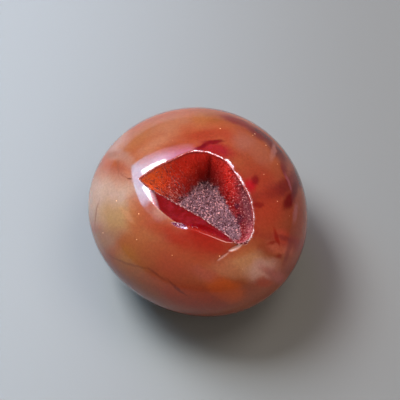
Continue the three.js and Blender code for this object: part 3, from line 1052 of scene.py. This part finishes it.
def wall_colors(shader, across, along, level):
    """The walls' colour along the pocket, with painted light high up and painted shade low down."""
    color = LEFT_END_COLOR
    for (start, end), tint in ACROSS_COLORS:
        color = shader.mix(shader.span(across, start, end), color, tint)
    color = shader.mix(shader.span(along, -11, -15), color, paint(186, 84, 88, 0.66))
    # Painted light: a brighter red high on the back wall, for light that comes through the stone
    back = shader.times(shader.span(across, -6, 1), shader.span(across, 9, 6))
    high = shader.times(shader.span(level, 0.45, 0.85), back)
    color = shader.mix(high, color, paint(232, 58, 46, 0.98))
    lip = shader.span(shader.attribute("level"), 0.9, 0.97, 0.0, 0.85)
    color = shader.mix(lip, color, paint(150, 44, 40, 0.7))
    # Painted shade: a darker red low down in the pocket
    low = shader.span(level, 0.6, 0.1, 0.0, 0.8)
    return shader.mix(low, color, paint(125, 12, 16, 0.7))


def grain_colors(shader, color, across, level, tone):
    """Single crystals that are pinker or darker than those round them, and painted glints on others."""
    left_low = shader.times(shader.span(level, 0.55, 0.2), shader.span(across, -3, -7))
    pink_grains = shader.times(left_low, shader.span(tone, 0.6, 0.8, 0.0, 0.7))
    color = shader.mix(pink_grains, color, paint(225, 140, 125, 0.8))
    on_floor = shader.span(level, 0.12, 0.0, 0.25, 1.0)
    at_right = shader.span(across, 7, 11, 0.25, 1.0)
    grainy = shader.math("MAXIMUM", on_floor, at_right)
    # Painted glints: single crystals on the floor and the right wall made pale and bright
    painted_glint = shader.times(shader.span(tone, 0.84, 1.0, 0.0, 0.45), grainy)
    color = shader.mix(painted_glint, color, paint(240, 160, 150, 1.0))
    dark = shader.times(shader.span(tone, 0.18, 0.0, 0.0, 0.5), grainy)
    return shader.mix(dark, color, paint(80, 10, 16))


def edge_colors(shader, color, across, along, level):
    """The pale band in the polish with painted glints, and worn, broken crystals along the long straight
    edge.
    """
    pale = shader.span(shader.noise(0.8, 3.0), 0.32, 0.52)
    # Painted glints: near white flecks over the pale band
    painted_fleck_mask = shader.span(shader.noise(3.5, 2.0), 0.45, 0.6)
    painted_sparkle_color = shader.mix(painted_fleck_mask, paint(236, 172, 170), paint(250, 222, 220, 1.0))
    band_color = shader.mix(pale, paint(200, 112, 108), painted_sparkle_color)
    color = shader.mix(shader.attribute("band"), color, band_color)
    beside = shader.math("ADD", along, shader.times(across, STRAIGHT_EDGE_SLOPE))
    near_edge = shader.times(shader.span(beside, -9.4, -10.4), shader.span(level, 0.7, 0.85))
    broken = shader.span(shader.noise(1.8, 3.0), 0.45, 0.65)
    worn = shader.mix(broken, paint(120, 32, 36), paint(225, 165, 155))
    return shader.mix(near_edge, color, worn)


def crystal_material():
    """The crust of quartz: orange red at the left, red, then dusky pink, over a grey-pink floor."""
    shader = Shader("quartz_druse")
    across, along = shader.parts(shader.warp(0.25, 1.5))
    exact_level = shader.attribute("level")
    stray = shader.times(shader.math("SUBTRACT", shader.noise(0.6), 0.5), 0.35)
    level = shader.math("ADD", exact_level, stray)
    tone = shader.attribute("tone")
    walls = wall_colors(shader, across, along, level)
    floor = shader.mix(tone, paint(94, 50, 56), paint(188, 134, 141))
    color = shader.mix(shader.span(level, 0.1, -0.04), walls, floor)
    spots = shader.span(shader.noise(1.3, 2.0), 0.64, 0.74, 0.0, 0.7)
    color = shader.mix(spots, color, paint(96, 18, 6))
    # Painted shade in the hollows of the right wall
    for point, reach in PAINTED_HOLLOW_SHADE:
        away = shader.vector("LENGTH", shader.vector("SUBTRACT", shader.warp(0.6, 1.5), point))
        hollow = shader.span(away, reach, reach * 0.4, 0.0, 0.75)
        color = shader.mix(hollow, color, paint(94, 30, 52))
    color = grain_colors(shader, color, across, level, tone)
    color = edge_colors(shader, color, across, along, level)
    shader.set("Base Color", color)
    matte = shader.times(shader.span(level, 0.0, 0.15), shader.span(across, 9, 4, 0.0, 0.6))
    gloss = shader.span(shader.noise(1.5, 2.0), 0.3, 0.7, 0.12, 0.3)
    shader.set("Roughness", shader.math("MAXIMUM", matte, gloss))
    shader.set("IOR", REFRACTION)
    shader.set("Specular IOR Level", 0.2)
    shader.set("Specular Tint", (1.0, 0.5, 0.4, 1))
    return shader.material


def floor_material():
    """A pale floor with painted shade, a little darker towards the right where the light falls off."""
    shader = Shader("pale_floor")
    # Painted shade: the floor darkens towards the right
    side = shader.span(shader.parts(shader.place)[0], -60, 60)
    shader.set("Base Color", shader.mix(side, paint(158, 157, 152), paint(134, 130, 122)))
    shader.set("Roughness", 0.7)
    return shader.material


# Camera and light
STONE_MIDDLE = Vector(CENTRE * MM)


def make_camera():
    """The camera, in front of the stone and above it as in the photo."""
    data = bpy.data.cameras.new("camera")
    data.sensor_width = SENSOR
    data.lens = SENSOR * CAMERA_DISTANCE / FRAME_WIDTH
    data.clip_start = 0.01
    data.clip_end = 20
    camera = bpy.data.objects.new("camera", data)
    bpy.context.collection.objects.link(camera)
    camera.matrix_world = Matrix(np.array([RIGHT, UP, BACK]).T.tolist()).to_4x4()
    camera.location = Vector(FRAME_MIDDLE * MM + BACK * CAMERA_DISTANCE)
    bpy.context.scene.camera = camera


LAMP_DISTANCE = 0.6
# The window: direction of its middle from the +Y side and above the table, its roll, and the corner
# that its parts are measured from. Lengths are shares of the lamps' distance.
WINDOW_AZIMUTH = -46
WINDOW_HEIGHT = 50
WINDOW_ROLL = 152
WINDOW_CORNER = (-0.02, -0.56)
WINDOW_COLOR = (0.95, 0.97, 1.0)
# Its bright parts: where each starts and ends across and along it, and its radiance
WINDOW_PARTS = [
    ("window", (0.1, 0.42), (0.295, 0.86), 30.0),
    ("window_side", (0.0, 0.12), (0.54, 0.8), 24.0),
]
CLEAR_OF_GLOW = 0.99  # how much nearer the bright parts stand than the glow behind them


def make_lamp(name, azimuth, height, roll, middle, size, radiance, color):
    """A rectangular light that faces the stone, with its middle set off within its own plane."""
    azimuth, height, roll = (math.radians(value) for value in (azimuth, height, roll))
    away = Vector((
        math.sin(azimuth) * math.cos(height),
        math.cos(azimuth) * math.cos(height),
        math.sin(height),
    ))
    level = Vector((0, 0, 1)).cross(away).normalized()
    rise = away.cross(level)
    data = bpy.data.lights.new(name, "AREA")
    data.shape = "RECTANGLE"
    data.size = size[0] * LAMP_DISTANCE
    data.size_y = size[1] * LAMP_DISTANCE
    data.energy = radiance * math.pi * data.size * data.size_y
    data.color = color
    light = bpy.data.objects.new(name, data)
    bpy.context.collection.objects.link(light)
    first = level * math.cos(roll) + rise * math.sin(roll)
    second = away.cross(first)
    light.matrix_world = Matrix((first, second, away)).transposed().to_4x4()
    light.location = STONE_MIDDLE + (away + level * middle[0] + rise * middle[1]) * LAMP_DISTANCE
    return light


def window_part(name, across, along, radiance, color):
    """A part of the window, by where it starts and ends across and along it."""
    roll = math.radians(WINDOW_ROLL)
    first = np.array([math.cos(roll), math.sin(roll)])
    second = np.array([math.sin(roll), -math.cos(roll)])
    middle = np.array(WINDOW_CORNER) + first * sum(across) / 2 + second * sum(along) / 2
    size = (across[1] - across[0], along[1] - along[0])
    return make_lamp(name, WINDOW_AZIMUTH, WINDOW_HEIGHT, WINDOW_ROLL, middle, size, radiance, color)


# The glow round the window, where it starts and ends across and along
GLOW_ACROSS = (-0.2, 0.85)
GLOW_ALONG = (0.07, 1.15)
GLOW_SLANT = -0.24  # its left side runs slantwise, up to a limit
GLOW_SLANT_LIMIT = -0.18
GLOW_NEAR_WINDOW = 2.1  # how much brighter it is beside the window
GLOW_LEFT_COLOR = (3.2, 6.8, 10.5, 1)
GLOW_RIGHT_COLOR = (1.4, 0.9, 2.2, 1)


def make_glow():
    """One lamp that fades over its own face: white at the left, pink at the right."""
    light = window_part("window_glow", GLOW_ACROSS, GLOW_ALONG, 1.0, (1, 1, 1))
    light.data.use_nodes = True
    nodes = Nodes(light.data.node_tree)
    face = nodes.node("ShaderNodeNewGeometry").outputs["Parametric"]
    right, up = nodes.parts(face)
    across = nodes.linear(right, GLOW_ACROSS)
    along = nodes.linear(up, GLOW_ALONG[::-1])
    slant = nodes.math("MAXIMUM", nodes.times(along, GLOW_SLANT), GLOW_SLANT_LIMIT)
    strength = nodes.span(nodes.math("SUBTRACT", across, slant), 0.0, 0.03)
    strength = nodes.times(strength, nodes.span(across, 0.83, 0.7))
    strength = nodes.times(strength, nodes.span(along, 0.86, 0.7, 0.08, 1.0))
    strength = nodes.times(strength, nodes.span(along, 0.07, 0.1))
    strength = nodes.times(strength, nodes.span(along, 0.1, 0.26, 0.6, 1.08))
    near = nodes.times(nodes.span(along, 0.1, 0.28), nodes.span(along, 0.5, 0.32))
    near = nodes.times(near, nodes.span(across, 0.2, 0.42))
    strength = nodes.times(strength, nodes.linear(near, (1.0, GLOW_NEAR_WINDOW)))
    color = nodes.mix(nodes.span(across, 0.0, 0.65), GLOW_LEFT_COLOR, GLOW_RIGHT_COLOR)
    emission = nodes.tree.nodes["Emission"]
    nodes.feed(emission.inputs["Color"], color)
    nodes.feed(emission.inputs["Strength"], strength)


def make_lamps():
    """The window with its glow, a soft light from above and a weak fill from the front."""
    make_glow()
    for name, across, along, radiance in WINDOW_PARTS:
        part = window_part(name, across, along, radiance, WINDOW_COLOR)
        part.location = STONE_MIDDLE.lerp(part.location, CLEAR_OF_GLOW)
    make_lamp("top_light", 66, 67, 0, (0, 0), (0.5, 0.5), 6.0, (1.0, 0.95, 0.92))
    fill = make_lamp("front_fill", 140, 38, 0, (0, 0), (1.2, 1.2), 1.4, (1.0, 0.92, 0.86))
    fill.visible_glossy = False


WORLD_COLOR = (1.0, 0.96, 0.92, 1)
WORLD_STRENGTH = 0.11
FLOOR_REACH = 3.0
FLOOR_GAP = 0.00002


def make_world():
    """An even, warm light from all round."""
    world = bpy.data.worlds.new("studio")
    world.use_nodes = True
    background = world.node_tree.nodes["Background"]
    background.inputs["Color"].default_value = WORLD_COLOR
    background.inputs["Strength"].default_value = WORLD_STRENGTH
    bpy.context.scene.world = world


def make_floor():
    """A plain square floor just below the stone."""
    mesh = bpy.data.meshes.new("floor")
    corners = [(-1, -1), (1, -1), (1, 1), (-1, 1)]
    points = [(x * FLOOR_REACH, y * FLOOR_REACH, 0) for x, y in corners]
    mesh.from_pydata(points, [], [(0, 1, 2, 3)])
    floor = bpy.data.objects.new("floor", mesh)
    bpy.context.collection.objects.link(floor)
    floor.location.z = -FLOOR_GAP
    mesh.materials.append(floor_material())


bpy.context.scene.view_settings.view_transform = "Standard"
make_camera()
make_floor()
make_world()
make_lamps()

stone = build_stone()
stone.data.materials.append(stone_material())
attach(stone, "root")
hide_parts("polished_stone")

lining = build_lining()
lining.data.materials.append(crystal_material())
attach(lining, "root")
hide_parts("crystal_lining")
